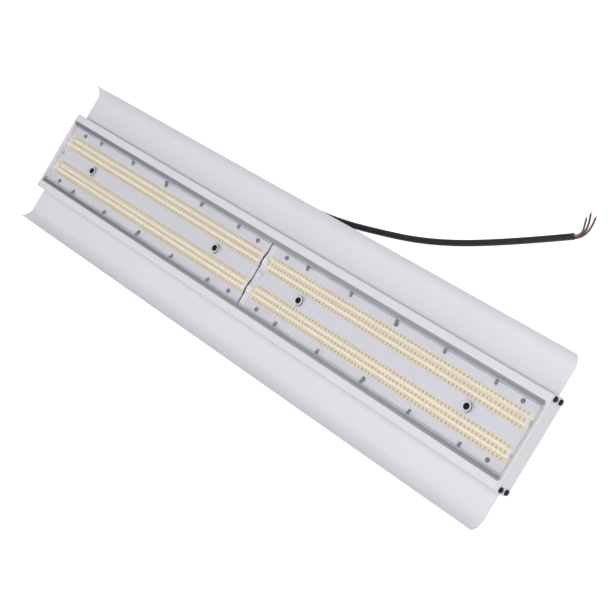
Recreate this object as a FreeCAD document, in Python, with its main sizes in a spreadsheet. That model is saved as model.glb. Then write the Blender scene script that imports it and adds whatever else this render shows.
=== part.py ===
"""High bay light: a long aluminium housing with two wing reflectors, two LED boards under a clear
lens in two lengths, and a driver box with a cable gland on its back.

Frame: millimetres, +X along the light, +Y across it, +Z out of the lens. The light lies on its back:
z = 0 is the back of the driver box, and x = y = 0 is the middle of the light.
"""
import FreeCAD, Part
import math
import os
import re
import Sketcher
from FreeCAD import Placement, Rotation, Vector

doc = FreeCAD.newDocument("HighBayLight")

# ---------------------------------------------------------------- driving sizes
SIZES = [
    # the light as a whole
    ("body_length", 900.0, "housing and wings, end to end"),
    ("overall_width", 218.0, "over the lips of both wings"),
    ("folded_sheet", 1.2, "sheet of the wings, driver box and lid"),
    ("fold_radius", 0.8, "inside radius of every fold in that sheet"),
    # housing, an extruded profile
    ("housing_width", 120.0, "over the side walls"),
    ("housing_height", 25.0, "rim to foot"),
    ("housing_wall", 1.6, "side walls, rims and feet"),
    ("rim_width", 13.1, "width of the rim beside the lens"),
    ("rim_wall", 1.4, "inner wall of the rim"),
    ("rim_outer_radius", 2.0, "outer edge of the rim"),
    ("rim_inner_radius", 0.7, "inner edge of the rim"),
    ("foot_radius", 1.0, "outer edge of the foot, clear of the wing's fold"),
    ("ledge_width", 4.0, "ledge that carries the lens"),
    ("ledge_thickness", 1.4, "ledge, top to bottom"),
    ("ledge_depth", 4.8, "rim down to the ledge"),
    ("tray_depth", 9.0, "rim down to the tray"),
    ("tray_thickness", 2.0, "tray under the LED boards"),
    ("fin_count", 6, "cooling fins under the tray"),
    ("fin_pitch", 13.0, "from fin to fin"),
    ("fin_thickness", 1.6, "one fin"),
    ("screw_channel_depth", 5.5, "grooves that the M4 screws bite into"),
    ("screw_channel_wall", 1.5, "wall round such a groove"),
    ("port_wall", 1.7, "wall of a screw port"),
    ("port_inset_side", 4.0, "side wall's face to port centre"),
    ("port_inset_end", 5.9, "rim or foot to port centre"),
    # wings
    ("wing_drop", 13.5, "rim down to the wing's face"),
    ("wing_foot", 13.0, "wing's foot under the housing"),
    ("lip_radius", 16.8, "curled lip, inner face"),
    ("lip_angle", 75.0, "sweep of the lip, degrees"),
    ("wing_screw_inset", 30.0, "wing's end to its screw"),
    # LED boards and what stands on them
    ("board_gap", 11.0, "between the two boards"),
    ("board_edge_gap", 0.9, "board beside the ledge"),
    ("board_thickness", 1.6, "one board"),
    ("led_margin", 8.15, "board's end to its first LED"),
    ("led_width", 3.5, "LED, across the light"),
    ("led_height", 0.7, "LED, over the board"),
    ("led_row_pitch", 7.3, "between the three rows of a strip"),
    ("strip_spacing", 40.0, "between the two strips of a board"),
    ("link_length", 16.0, "jumper over the gap between the boards"),
    ("link_width", 7.0, "jumper, across"),
    ("link_height", 3.0, "jumper, over the board"),
    ("connector_length", 5.5, "connector at a strip's outer end"),
    ("connector_width", 8.0, "connector, across"),
    ("connector_height", 2.0, "connector, over the board"),
    ("connector_inset", 1.0, "board's end to connector"),
    ("inlet_length", 16.0, "connector over the driver's lead, along"),
    ("inlet_width", 9.0, "connector over the driver's lead, across"),
    ("inlet_height", 3.2, "connector over the driver's lead, over the board"),
    # lens
    ("lens_gap", 2.4, "between the two lenses"),
    ("lens_edge_gap", 1.3, "lens beside the rim"),
    ("lens_thickness", 2.0, "lens plate"),
    ("lens_bar_width", 24.0, "convex bar over a strip"),
    ("lens_bar_rise", 1.8, "convex bar, crown over the plate"),
    ("lens_screw_inset", 81.8, "lens's end to its screw"),
    ("pillar_radius", 6.5, "pillar round a lens screw"),
    ("tab_count", 5, "edge tabs along one lens"),
    ("tab_inset", 66.7, "lens's end to its first tab"),
    ("tab_length", 7.0, "tab, across the light"),
    ("tab_width", 2.0, "tab, along the light"),
    ("tab_height", 0.8, "tab, over the plate"),
    ("seal_width", 2.0, "seal strip between ledge and lens"),
    ("seal_thickness", 0.8, "seal strip"),
    ("seal_inset", 0.3, "ledge's edge to seal strip"),
    # end caps
    ("cap_thickness", 3.0, "end cap plate"),
    ("cap_lip", 2.0, "lip of the cap, into the housing"),
    ("cap_overlap", 0.3, "cap beyond the housing all round"),
    # driver box and lid
    ("box_depth", 36.8, "back of the box to its flange"),
    ("box_width", 72.0, "over the side walls"),
    ("box_length", 360.0, "over the end walls"),
    ("box_flange_inset", 4.0, "housing's side to the flange's edge"),
    ("box_screw_inset", 30.0, "box's end to its screw"),
    ("lid_gap", 0.5, "lid beside a wing's foot"),
    ("channel_inset", 9.8, "side wall's face to the middle of its screw channel"),
    ("lead_hole_radius", 3.2, "hole for the driver's lead in the tray"),
    ("grommet_bore", 2.4, "radius"),
    ("grommet_wall", 1.4, "rubber between bore and sheet"),
    # driver
    ("driver_x", 40.0, "middle of the light to the middle of the driver"),
    ("driver_length", 150.0, "case"),
    ("driver_width", 60.0, "case"),
    ("driver_height", 27.0, "case"),
    ("driver_edge", 2.0, "radius of the case's long edges"),
    ("driver_ear", 12.0, "mounting ear"),
    ("driver_ear_width", 24.0, "mounting ear"),
    ("driver_ear_thickness", 1.5, "mounting ear"),
    ("standoff_height", 4.0, "standoff under an ear"),
    ("standoff_radius", 3.6, "hexagonal standoff, over corners"),
    ("block_length", 30.0, "terminal block, along"),
    ("block_width", 18.0, "terminal block, across"),
    ("block_height", 20.0, "terminal block"),
    ("block_y", -9.0, "middle of the light to the middle of the block, across"),
    # cable gland
    ("gland_inset", 80.0, "box's far end to the gland"),
    ("gland_z", 17.0, "gland, over the back"),
    ("gland_flats", 22.0, "hexagon, across flats"),
    ("gland_thread", 8.0, "radius of the thread through the wall"),
    ("gland_neck", 9.0, "radius of the neck under the dome nut"),
    ("gland_bore", 4.7, "radius of the bore"),
    ("gland_collar", 5.0, "hexagon of the body"),
    ("gland_neck_length", 7.0, "neck beyond the collar"),
    ("gland_tail", 9.0, "thread inside the box"),
    ("gland_reach", 20.0, "wall to the mouth of the dome nut"),
    ("dome_start", 6.0, "wall to the dome nut's hexagon"),
    ("dome_hexagon", 8.0, "length of the dome nut's hexagon"),
    ("dome_mouth", 6.4, "radius of the dome nut's mouth, outside"),
    ("locknut_height", 4.0, "lock nut"),
    # hanging brackets
    ("bracket_inset", 120.0, "housing's end to a bracket"),
    ("bracket_width", 30.0, "strap, along the light"),
    ("bracket_sheet", 2.0, "strap"),
    ("bracket_fold", 2.0, "strap, inside fold radius"),
    ("bracket_leg", 36.0, "middle to the outer face of a leg"),
    ("bracket_foot_inset", 3.0, "housing's side to the foot's edge"),
    ("bracket_depth", 24.8, "housing side of the foot to the bridge's face"),
    ("hook_hole_radius", 4.5, "hole for the hook or eye bolt"),
    # fasteners
    ("pan_radius", 4.0, "M4 pan head"),
    ("pan_height", 2.8, "M4 pan head"),
    ("pan_sides", 16, "flats that stand in for its round edge"),
    ("hex_radius", 4.0, "M4 hexagon head, over corners"),
    ("hex_height", 2.8, "M4 hexagon head"),
    ("shank_radius", 1.6, "M4 self-tapping shank, six-sided"),
    ("bite", 4.0, "length of a screw beyond what it clamps"),
    ("cap_screw_bite", 9.0, "the same for an end cap's screw"),
    # running clearances
    ("shank_clearance", 0.5, "shank in a through hole, on the radius"),
    ("bite_clearance", 0.05, "shank in its channel, port or standoff"),
    ("loose_fit", 0.2, "gland threads and bush"),
    ("slide_clearance", 0.5, "cap lip beside the rims"),
    ("end_play", 0.2, "lens before the cap lip"),
    # cord and leads
    ("cord_diameter", 8.0, "sheath of the supply cord"),
    ("core_diameter", 2.5, "one insulated core"),
    ("driver_lead", 2.6, "driver's output lead"),
    ("input_cable", 6.0, "driver's input cable"),
    ("input_cable_y", -8.0, "that cable, across"),
    ("input_cable_z", 13.4, "that cable over the back"),
]

sheet = doc.addObject("Spreadsheet::Sheet", "sizes")
for row, (alias, amount, note) in enumerate(SIZES, start=1):
    sheet.set(f"A{row}", alias)
    sheet.set(f"B{row}", str(amount))
    sheet.set(f"C{row}", note)
    sheet.setAlias(f"B{row}", alias)
doc.recompute()
size = {alias: float(sheet.get(alias)) for alias, _, _ in SIZES}
ALIASES = re.compile(r"\b(" + "|".join(size) + r")\b")


def bound(text):
    """The same expression with every size name pointing at its cell."""
    return ALIASES.sub(r"sizes.\1", str(text))


def number(text):
    """What an expression comes to now."""
    return float(sheet.evalExpression(bound(text)))


# ---------------------------------------------------------------- heights and places, as expressions
BASE = "(box_depth + folded_sheet)"
RIM = f"({BASE} + housing_height)"
TRAY = f"({RIM} - tray_depth)"
TRAY_UNDER = f"({TRAY} - tray_thickness)"
BOARD_TOP = f"({TRAY} + board_thickness)"
LEDGE = f"({RIM} - ledge_depth)"
LENS = f"({LEDGE} + seal_thickness)"
LENS_TOP = f"({LENS} + lens_thickness)"
WING = f"({RIM} - wing_drop)"
SIDE = "(housing_width / 2)"
RIM_INSIDE = f"({SIDE} - rim_width)"
END = "(body_length / 2)"
BOX_WALL = "(box_width / 2)"
LENS_END = f"({END} - cap_lip - end_play)"
LENS_LENGTH = f"({LENS_END} - lens_gap / 2)"
LENS_WIDTH = f"(2 * ({RIM_INSIDE} - lens_edge_gap))"
MODULE = f"(({LENS_END} + lens_gap / 2) / 2)"
BOARD_LENGTH = f"(2 * {MODULE} - board_gap)"
BOARD_WIDTH = f"(2 * ({RIM_INSIDE} - ledge_width - board_edge_gap))"
CHANNEL_Y = f"({SIDE} - channel_inset)"
GLAND_X = "(gland_inset - box_length / 2)"


# ---------------------------------------------------------------- how the bodies are made
def new_body(label):
    body = doc.addObject("PartDesign::Body", label)
    body.Label = label
    return body


def origin(body, role):
    """The body's own origin plane or axis."""
    return next(item for item in body.Origin.OriginFeatures if item.Role == role)


def new_sketch(body, plane, height="0"):
    """A sketch on one of the body's origin planes, lifted along its normal by height."""
    sketch = body.newObject("Sketcher::SketchObject", f"{body.Name}_sketch")
    sketch.AttachmentSupport = [(origin(body, plane), "")]
    sketch.MapMode = "FlatFace"
    sketch.setExpression("AttachmentOffset.Base.z", bound(height))
    return sketch


def hold(sketch, kind, where, text):
    """A dimension bound to the sheet."""
    index = sketch.addConstraint(Sketcher.Constraint(kind, *where, number(text)))
    sketch.setExpression(f"Constraints[{index}]", bound(text))


def arc_between(start, end, radius, turn):
    """The minor arc from start to end, and whether it runs clockwise."""
    chord = end - start
    middle = (start + end) * 0.5
    rise = math.sqrt(max(radius ** 2 - (chord.Length / 2) ** 2, 0.0))
    left = Vector(-chord.y, chord.x, 0) / chord.Length
    side = 1 if turn == "left" else -1
    centre = middle + left * rise * side
    first, last = (start, end) if turn == "left" else (end, start)
    angles = [math.atan2(p.y - centre.y, p.x - centre.x) for p in (first, last)]
    return Part.ArcOfCircle(Part.Circle(centre, Vector(0, 0, 1), radius), *angles)


def outline(sketch, steps):
    """A closed outline. A step is (x, y), or (x, y, radius, turn) where an arc leads to that corner."""
    corners = [Vector(number(step[0]), number(step[1]), 0) for step in steps]
    count = len(steps)
    ends = []
    for i in range(count):
        following = (i + 1) % count
        arrival = steps[following][2:]
        if arrival:
            radius, turn = arrival
            arc = arc_between(corners[i], corners[following], number(radius), turn)
            edge = sketch.addGeometry(arc)
            hold(sketch, "Radius", (edge,), radius)
            ends.append((edge, 1, 2) if turn == "left" else (edge, 2, 1))
        else:
            edge = sketch.addGeometry(Part.LineSegment(corners[i], corners[following]))
            ends.append((edge, 1, 2))
    for i in range(count):
        edge, _, last = ends[i]
        next_edge, first, _ = ends[(i + 1) % count]
        sketch.addConstraint(Sketcher.Constraint("Coincident", edge, last, next_edge, first))
    for (edge, first, _), step in zip(ends, steps):
        hold(sketch, "DistanceX", (-1, 1, edge, first), step[0])
        hold(sketch, "DistanceY", (-1, 1, edge, first), step[1])
    return sketch


def far_half(half):
    """The mirror image of half an outline, in the order that leads back."""
    arrivals = [step[2:] for step in half] + [()]
    return [(f"-({half[i][0]})", half[i][1], *arrivals[i + 1]) for i in reversed(range(len(half)))]


def other_side(steps):
    """A whole outline on the other side of the sketch's upright axis."""
    turned = {"left": "right", "right": "left"}
    return [(f"-({s[0]})", s[1]) + ((s[2], turned[s[3]]) if s[2:] else ()) for s in steps]


def rectangle(sketch, x, y, length, width):
    """A rectangle by its middle and its sides."""
    left, right = f"{x} - ({length}) / 2", f"{x} + ({length}) / 2"
    low, high = f"{y} - ({width}) / 2", f"{y} + ({width}) / 2"
    outline(sketch, [(left, low), (right, low), (right, high), (left, high)])


def circles(sketch, places, radius):
    for x, y in places:
        centre = Vector(number(x), number(y), 0)
        ring = sketch.addGeometry(Part.Circle(centre, Vector(0, 0, 1), number(radius)))
        hold(sketch, "Radius", (ring,), radius)
        hold(sketch, "DistanceX", (-1, 1, ring, 3), x)
        hold(sketch, "DistanceY", (-1, 1, ring, 3), y)


def polygon(sketch, sides, corner_radius, x="0", y="0"):
    outline(sketch, [
        (f"{x} + {corner_radius} * cos({360 * k / sides})",
         f"{y} + {corner_radius} * sin({360 * k / sides})")
        for k in range(sides)
    ])


def pad(body, sketch, length, symmetric=False, reverse=False):
    feature = body.newObject("PartDesign::Pad", f"{body.Name}_pad")
    feature.Profile = sketch
    feature.setExpression("Length", bound(length))
    feature.SideType = "Symmetric" if symmetric else "One side"
    feature.Reversed = reverse
    sketch.Visibility = False
    return feature


def pocket(body, sketch, length, reverse=False):
    """Cuts against the sketch's normal, or along it where reverse is set."""
    feature = body.newObject("PartDesign::Pocket", f"{body.Name}_pocket")
    feature.Profile = sketch
    feature.setExpression("Length", bound(length))
    feature.Reversed = reverse
    sketch.Visibility = False
    return feature


def revolution(body, sketch):
    """A full turn about the sketch's upright axis."""
    feature = body.newObject("PartDesign::Revolution", f"{body.Name}_turned")
    feature.Profile = sketch
    feature.ReferenceAxis = (sketch, ["V_Axis"])
    feature.Angle = 360.0
    sketch.Visibility = False
    return feature


def pattern(body, originals, first, second=None):
    """Copies along one or two of the body's axes. Each is (axis, count, pitch)."""
    feature = body.newObject("PartDesign::LinearPattern", f"{body.Name}_row")
    feature.Originals = originals
    for suffix, row in (("", first), ("2", second)):
        if row is None:
            continue
        axis, count, pitch = row
        setattr(feature, "Direction" + suffix, (origin(body, axis), [""]))
        setattr(feature, "Mode" + suffix, "Spacing")
        feature.setExpression("Offset" + suffix, bound(pitch))
        feature.setExpression("Occurrences" + suffix, bound(count))
    body.Tip = feature
    return feature


def place(item, x, y, z, rotation):
    """Turns a finished piece and puts it where it belongs."""
    item.Placement = Placement(Vector(0, 0, 0), rotation)
    for axis, text in (("x", x), ("y", y), ("z", z)):
        item.setExpression(f"Placement.Base.{axis}", bound(text))


ALONG_Y = Rotation(Vector(1, 0, 0), -90)       # a piece made along Z then points along +Y


# ---------------------------------------------------------------- housing and wings
SCREW_SLOT = "(shank_radius + bite_clearance)"
SHANK_HOLE = "(shank_radius + shank_clearance)"
PORT_Y = f"({SIDE} - port_inset_side)"
PORT_HEIGHTS = (f"({RIM} - port_inset_end)", f"({BASE} + port_inset_end)")
PORTS = [(f"{across} * {PORT_Y}", z) for across in (-1, 1) for z in PORT_HEIGHTS]
WING_SCREWS = [f"{end} * ({END} - wing_screw_inset)" for end in (-1, 1)]
BOX_SCREWS = [f"{end} * (box_length / 2 - box_screw_inset)" for end in (-1, 1)]
BRACKET_X = f"({END} - bracket_inset)"
BRACKET_SCREWS = [f"{end} * {BRACKET_X}" for end in (-1, 1)]


def in_both_channels(rows):
    """Places of screws that bite into the channels of the two feet."""
    return [(x, f"{across} * {CHANNEL_Y}") for x in rows for across in (-1, 1)]


def lens_screw_places(side):
    return [(f"{side} * {MODULE} + {end} * ({LENS_LENGTH} / 2 - lens_screw_inset)", "0") for end in (-1, 1)]


def housing_outside():
    """Right half of the profile, from the rim down the wall, round the foot and under the tray."""
    near_groove = f"({CHANNEL_Y} - {SCREW_SLOT})"
    far_groove = f"({CHANNEL_Y} + {SCREW_SLOT})"
    groove_top = f"({BASE} + screw_channel_depth)"
    middle_wall = f"({SCREW_SLOT} + screw_channel_wall)"
    return [
        (f"{SIDE} - rim_outer_radius", RIM),
        (SIDE, f"{RIM} - rim_outer_radius", "rim_outer_radius", "right"),
        (SIDE, f"{BASE} + foot_radius"),
        (f"{SIDE} - foot_radius", BASE, "foot_radius", "right"),
        (far_groove, BASE),
        (far_groove, groove_top),
        (near_groove, groove_top),
        (near_groove, BASE),
        (f"{near_groove} - screw_channel_wall", BASE),
        (f"{near_groove} - screw_channel_wall", f"{groove_top} + screw_channel_wall"),
        (f"{far_groove} + screw_channel_wall", f"{groove_top} + screw_channel_wall"),
        (f"{far_groove} + screw_channel_wall", f"{BASE} + housing_wall"),
        (f"{SIDE} - housing_wall", f"{BASE} + housing_wall"),
        (f"{SIDE} - housing_wall", TRAY_UNDER),
        (middle_wall, TRAY_UNDER),
        (middle_wall, f"{TRAY} - screw_channel_depth - screw_channel_wall"),
    ]


def housing_inside():
    """Right half of the trough, from the middle groove out to the rim."""
    return [
        (SCREW_SLOT, f"{TRAY} - screw_channel_depth"),
        (SCREW_SLOT, TRAY),
        (RIM_INSIDE, TRAY),
        (RIM_INSIDE, f"{LEDGE} - ledge_thickness"),
        (f"{RIM_INSIDE} - ledge_width", f"{LEDGE} - ledge_thickness"),
        (f"{RIM_INSIDE} - ledge_width", LEDGE),
        (RIM_INSIDE, LEDGE),
        (RIM_INSIDE, f"{RIM} - rim_inner_radius"),
        (f"{RIM_INSIDE} + rim_inner_radius", RIM, "rim_inner_radius", "right"),
    ]


def make_housing():
    body = new_body("housing")
    section = new_sketch(body, "YZ_Plane")
    outside, inside = housing_outside(), housing_inside()
    outline(section, outside + far_half(outside) + far_half(inside) + inside)
    cell_width = f"(rim_width - housing_wall - rim_wall)"
    cell_height = f"(tray_depth - housing_wall)"
    for across in (-1, 1):
        middle = f"{across} * ({RIM_INSIDE} + rim_wall + {cell_width} / 2)"
        rectangle(section, middle, f"({TRAY} + {cell_height} / 2)", cell_width, cell_height)
    pad(body, section, "body_length", symmetric=True)
    fin = new_sketch(body, "YZ_Plane")
    rectangle(fin, "(-(fin_count - 1) * fin_pitch / 2)", f"({BASE} + {TRAY_UNDER}) / 2",
              "fin_thickness", f"({TRAY_UNDER} - {BASE})")
    one_fin = pad(body, fin, "body_length", symmetric=True)
    pattern(body, [one_fin], ("Y_Axis", "fin_count", "fin_pitch"))
    ports = new_sketch(body, "YZ_Plane")
    for y, z in PORTS:
        rectangle(ports, y, z, f"2 * ({SCREW_SLOT} + port_wall)", f"2 * ({SCREW_SLOT} + port_wall)")
    pad(body, ports, "body_length", symmetric=True)
    bores = new_sketch(body, "YZ_Plane", f"{END} + 1")
    circles(bores, PORTS, SCREW_SLOT)
    pocket(body, bores, "body_length + 2")
    lead_hole = new_sketch(body, "XY_Plane", TRAY)
    circles(lead_hole, [("0", "0")], "lead_hole_radius")
    pocket(body, lead_hole, "screw_channel_depth + screw_channel_wall + 1")
    return body


def wing_section():
    """Foot under the housing, flange up its wall, flat reflector and curled lip."""
    lip_y = "(overall_width / 2 - (lip_radius + folded_sheet) * sin(lip_angle))"
    lip_z = f"({WING} + lip_radius)"
    outer_fold = "(fold_radius + folded_sheet)"
    outer_lip = "(lip_radius + folded_sheet)"
    return [
        (f"{SIDE} - wing_foot", f"{BASE} - folded_sheet"),
        (f"{SIDE} - fold_radius", f"{BASE} - folded_sheet"),
        (f"{SIDE} + folded_sheet", f"{BASE} + fold_radius", outer_fold, "left"),
        (f"{SIDE} + folded_sheet", f"{WING} - {outer_fold}"),
        (f"{SIDE} + {outer_fold}", f"{WING} - folded_sheet", "fold_radius", "right"),
        (lip_y, f"{WING} - folded_sheet"),
        (f"{lip_y} + {outer_lip} * sin(lip_angle)", f"{lip_z} - {outer_lip} * cos(lip_angle)",
         outer_lip, "left"),
        (f"{lip_y} + lip_radius * sin(lip_angle)", f"{lip_z} - lip_radius * cos(lip_angle)"),
        (lip_y, WING, "lip_radius", "right"),
        (f"{SIDE} + {outer_fold}", WING),
        (SIDE, f"{WING} - {outer_fold}", outer_fold, "left"),
        (SIDE, f"{BASE} + fold_radius"),
        (f"{SIDE} - fold_radius", BASE, "fold_radius", "right"),
        (f"{SIDE} - wing_foot", BASE),
    ]


def make_wing(label, across):
    body = new_body(label)
    section = new_sketch(body, "YZ_Plane")
    outline(section, wing_section() if across > 0 else other_side(wing_section()))
    pad(body, section, "body_length", symmetric=True)
    slots = new_sketch(body, "XY_Plane", BASE)
    open_edge = f"({SIDE} - wing_foot - 1)"
    slot_end = f"({CHANNEL_Y} + {SHANK_HOLE})"
    for x in WING_SCREWS + BOX_SCREWS + BRACKET_SCREWS:
        rectangle(slots, x, f"{across} * ({open_edge} + {slot_end}) / 2",
                  f"2 * {SHANK_HOLE}", f"{slot_end} - {open_edge}")
    pocket(body, slots, "folded_sheet + 0.5")
    return body


# ---------------------------------------------------------------- LED boards
def make_board(label, side):
    body = new_body(label)
    plate = new_sketch(body, "XY_Plane", TRAY)
    rectangle(plate, f"{side} * {MODULE}", "0", BOARD_LENGTH, BOARD_WIDTH)
    circles(plate, lens_screw_places(side), SHANK_HOLE)
    pad(body, plate, "board_thickness")
    return body


def make_led_rows(label, side):
    """Every row of LEDs as one ridge, as long as the row."""
    body = new_body(label)
    row = new_sketch(body, "XY_Plane", BOARD_TOP)
    length = f"({BOARD_LENGTH} - 2 * led_margin)"
    for strip in (-1, 1):
        for k in (-1, 0, 1):
            middle = f"({strip} * strip_spacing / 2 + {k} * led_row_pitch)"
            rectangle(row, f"{side} * {MODULE}", middle, length, "led_width")
    pad(body, row, "led_height")
    return body


def on_board(body, x, y, length, width, height):
    """A block that stands on a board."""
    block = new_sketch(body, "XY_Plane", BOARD_TOP)
    rectangle(block, x, y, length, width)
    pad(body, block, height)


def make_board_fittings():
    links = new_body("board_links")
    connectors = new_body("end_connectors")
    for strip in (-1, 1):
        y = f"{strip} * strip_spacing / 2"
        on_board(links, "0", y, "link_length", "link_width", "link_height")
        for side in (-1, 1):
            end = f"({MODULE} + {BOARD_LENGTH} / 2 - connector_inset - connector_length / 2)"
            on_board(connectors, f"{side} * {end}", y,
                     "connector_length", "connector_width", "connector_height")
    inlet = new_body("inlet_connector")
    on_board(inlet, "0", "0", "inlet_length", "inlet_width", "inlet_height")
    return links, connectors, inlet


# ---------------------------------------------------------------- lens, seals and end caps
def make_lens(label, side):
    body = new_body(label)
    section = new_sketch(body, "YZ_Plane", f"{side} * {MODULE}")
    bar_curve = "((lens_bar_width^2 / 4 + lens_bar_rise^2) / (2 * lens_bar_rise))"
    steps = [(f"-{LENS_WIDTH} / 2", LENS), (f"{LENS_WIDTH} / 2", LENS), (f"{LENS_WIDTH} / 2", LENS_TOP)]
    for strip in (1, -1):
        middle = f"{strip} * strip_spacing / 2"
        steps.append((f"{middle} + lens_bar_width / 2", LENS_TOP))
        steps.append((f"{middle} - lens_bar_width / 2", LENS_TOP, bar_curve, "left"))
    steps.append((f"-{LENS_WIDTH} / 2", LENS_TOP))
    outline(section, steps)
    pad(body, section, LENS_LENGTH, symmetric=True)
    pillars = new_sketch(body, "XY_Plane", BOARD_TOP)
    circles(pillars, lens_screw_places(side), "pillar_radius")
    pad(body, pillars, f"{LENS_TOP} - {BOARD_TOP}")
    tab_pitch = f"(({LENS_LENGTH} - 2 * tab_inset) / (tab_count - 1))"
    first_tab = f"({side} * {MODULE} - {LENS_LENGTH} / 2 + tab_inset)"
    edge = f"({LENS_WIDTH} / 2 - tab_length / 2)"
    tabs = new_sketch(body, "XY_Plane", LENS_TOP)
    for across in (-1, 1):
        rectangle(tabs, first_tab, f"{across} * {edge}", "tab_width", "tab_length")
    first_tabs = pad(body, tabs, "tab_height")
    pattern(body, [first_tabs], ("X_Axis", "tab_count", tab_pitch))
    bore = new_sketch(body, "XY_Plane", LENS_TOP)
    circles(bore, lens_screw_places(side), SHANK_HOLE)
    pocket(body, bore, f"{LENS_TOP} - {BOARD_TOP} + 1")
    return body


def make_seal(label, across):
    body = new_body(label)
    strip = new_sketch(body, "XY_Plane", LEDGE)
    middle = f"{across} * ({RIM_INSIDE} - ledge_width + seal_inset + seal_width / 2)"
    rectangle(strip, "0", middle, f"2 * {LENS_END}", "seal_width")
    pad(body, strip, "seal_thickness")
    return body


def make_end_cap(label, side):
    body = new_body(label)
    far = side < 0
    plate = new_sketch(body, "YZ_Plane", f"{side} * {END}")
    edge_y = f"({SIDE} + cap_overlap)"
    top, bottom = f"({RIM} + cap_overlap)", f"({BASE} - cap_overlap)"
    corner = "(rim_outer_radius + cap_overlap)"
    half = [
        (f"{edge_y} - {corner}", top),
        (edge_y, f"{top} - {corner}", corner, "right"),
        (edge_y, f"{bottom} + {corner}"),
        (f"{edge_y} - {corner}", bottom, corner, "right"),
    ]
    outline(plate, half + far_half(half))
    circles(plate, PORTS, SHANK_HOLE)
    pad(body, plate, "cap_thickness", reverse=far)
    lip = new_sketch(body, "YZ_Plane", f"{side} * {END}")
    rectangle(lip, "0", f"({RIM} - housing_wall / 2)",
              f"2 * ({RIM_INSIDE} - slide_clearance)", "housing_wall")
    pad(body, lip, "cap_lip", reverse=not far)
    return body


# ---------------------------------------------------------------- driver box and what it holds
def hat_section(leg, foot, thickness, fold, depth):
    """A folded channel on two outward feet, whose feet lie at the level of the box's flange."""
    top = "box_depth"
    under, back = f"(box_depth - {thickness})", f"(box_depth - {depth})"
    outer_fold = f"({fold} + {thickness})"
    half = [
        (f"{leg} - {outer_fold}", f"{back} + {thickness}"),
        (f"{leg} - {thickness}", f"{back} + {outer_fold}", fold, "left"),
        (f"{leg} - {thickness}", f"{top} - {outer_fold}"),
        (f"{leg} + {fold}", top, outer_fold, "right"),
        (f"{leg} + {foot}", top),
        (f"{leg} + {foot}", under),
        (f"{leg} + {fold}", under),
        (leg, f"{under} - {fold}", fold, "left"),
        (leg, f"{back} + {outer_fold}"),
        (f"{leg} - {outer_fold}", back, outer_fold, "right"),
    ]
    return half + far_half(half)


def make_driver_box():
    body = new_body("driver_box")
    section = new_sketch(body, "YZ_Plane")
    flange_width = f"({SIDE} - box_flange_inset - {BOX_WALL})"
    outline(section, hat_section(BOX_WALL, flange_width, "folded_sheet", "fold_radius", "box_depth"))
    pad(body, section, "box_length", symmetric=True)
    for side in (-1, 1):
        wall = new_sketch(body, "YZ_Plane", f"{side} * box_length / 2")
        rectangle(wall, "0", "(folded_sheet + box_depth) / 2",
                  "box_width - 2 * folded_sheet", "box_depth - folded_sheet")
        pad(body, wall, "folded_sheet", reverse=side > 0)
    flange = new_sketch(body, "XY_Plane", "box_depth")
    circles(flange, in_both_channels(BOX_SCREWS), SHANK_HOLE)
    pocket(body, flange, "folded_sheet + 0.5")
    entry = new_sketch(body, "XZ_Plane", f"-({BOX_WALL} + 1)")
    circles(entry, [(GLAND_X, "gland_z")], "gland_thread + loose_fit")
    pocket(body, entry, "folded_sheet + 2", reverse=True)
    return body


def make_lid():
    body = new_body("driver_box_lid")
    plate = new_sketch(body, "XY_Plane", "box_depth")
    rectangle(plate, "0", "0", "box_length", f"2 * ({SIDE} - wing_foot - lid_gap)")
    circles(plate, [("0", "0")], "grommet_bore + grommet_wall")
    pad(body, plate, "folded_sheet")
    return body


def make_grommet():
    body = new_body("wire_grommet")
    collar = new_sketch(body, "XY_Plane", "box_depth")
    circles(collar, [("0", "0")], "grommet_bore + grommet_wall")
    circles(collar, [("0", "0")], "grommet_bore")
    pad(body, collar, "folded_sheet")
    return body


DRIVER_EARS = [(f"driver_x + {end} * (driver_length + driver_ear) / 2", "0") for end in (-1, 1)]


def make_driver():
    body = new_body("led_driver")
    section = new_sketch(body, "YZ_Plane", "driver_x")
    half_width, top = "(driver_width / 2)", "(folded_sheet + driver_height)"
    half = [
        (f"{half_width} - driver_edge", top),
        (half_width, f"{top} - driver_edge", "driver_edge", "right"),
        (half_width, "folded_sheet"),
    ]
    outline(section, half + far_half(half))
    pad(body, section, "driver_length", symmetric=True)
    ears = new_sketch(body, "XY_Plane", "folded_sheet + standoff_height")
    for x, y in DRIVER_EARS:
        rectangle(ears, x, y, "driver_ear", "driver_ear_width")
    pad(body, ears, "driver_ear_thickness")
    slots = new_sketch(body, "XY_Plane", "folded_sheet + standoff_height + driver_ear_thickness")
    for end in (-1, 1):
        slot_length = f"(driver_ear / 2 + {SHANK_HOLE})"
        middle = f"driver_x + {end} * (driver_length / 2 + driver_ear - {slot_length} / 2 + 0.5)"
        rectangle(slots, middle, "0", f"{slot_length} + 1", f"2 * {SHANK_HOLE}")
    pocket(body, slots, "driver_ear_thickness + 0.5")
    return body


def make_standoffs():
    body = new_body("driver_standoffs")
    post = new_sketch(body, "XY_Plane", "folded_sheet")
    for x, y in DRIVER_EARS:
        polygon(post, 6, "standoff_radius", x, y)
        polygon(post, 6, SCREW_SLOT, x, y)
    pad(body, post, "standoff_height")
    return body


def make_terminal_block():
    body = new_body("terminal_block")
    block = new_sketch(body, "XY_Plane", "folded_sheet")
    rectangle(block, GLAND_X, "block_y", "block_length", "block_width")
    pad(body, block, "block_height")
    return body


# ---------------------------------------------------------------- cable gland, its axis along +Y
GLAND_CORNER = "(gland_flats / 2 / cos(30))"


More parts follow.
